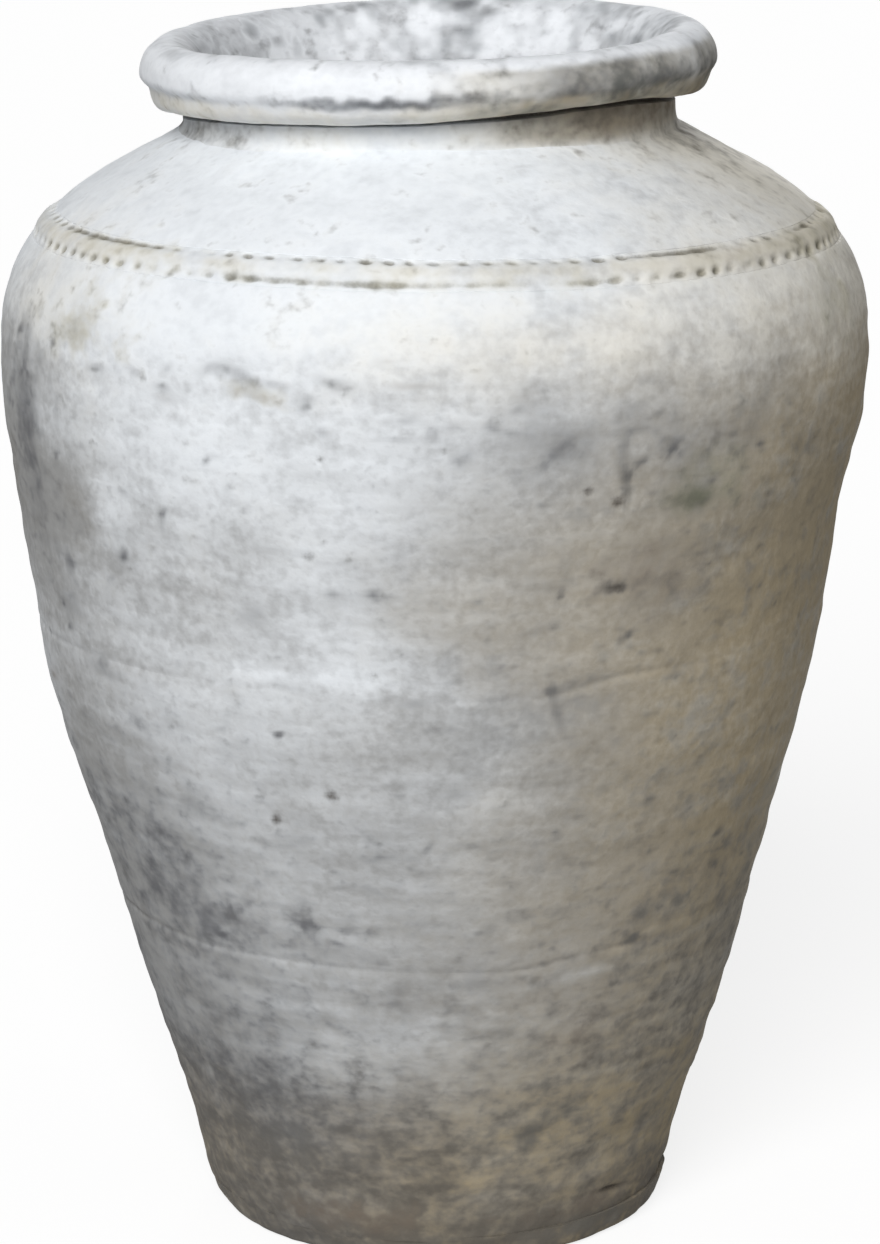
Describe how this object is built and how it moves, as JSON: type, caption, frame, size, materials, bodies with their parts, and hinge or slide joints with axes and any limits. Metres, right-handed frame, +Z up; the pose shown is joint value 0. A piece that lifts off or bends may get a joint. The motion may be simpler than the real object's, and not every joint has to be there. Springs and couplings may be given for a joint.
{
  "type": "pithos storage jar",
  "caption": "Tall clay storage jar with a flat foot, high round belly, notched shoulder band, short neck and heavy rolled rim, limewashed and weathered, open at the top.",
  "frame": {"origin": "centre of the flat foot, on the surface that the jar stands on", "axes": "+Z up along the jar's axis, -Y towards the pictured side, +X to the right seen from there"},
  "size_m": [0.7157, 0.7157, 1.0065],
  "materials": {
    "limewashed_clay": "matte, weathered limewash over coarse fired clay",
    "rim_limewash": "matte, thick limewash with pitting",
    "bare_clay": "matte, bare fired clay, dirty from the ground"
  },
  "bodies": {
    "root": {"base_slab": "bare_clay", "lower_wall": "limewashed_clay", "middle_wall": "limewashed_clay", "belly_wall": "limewashed_clay", "upper_wall": "limewashed_clay", "shoulder": "limewashed_clay", "neck_collar": "limewashed_clay", "rim_roll": "rim_limewash", "shoulder_band": "limewashed_clay"}
  },
  "joints": []
}
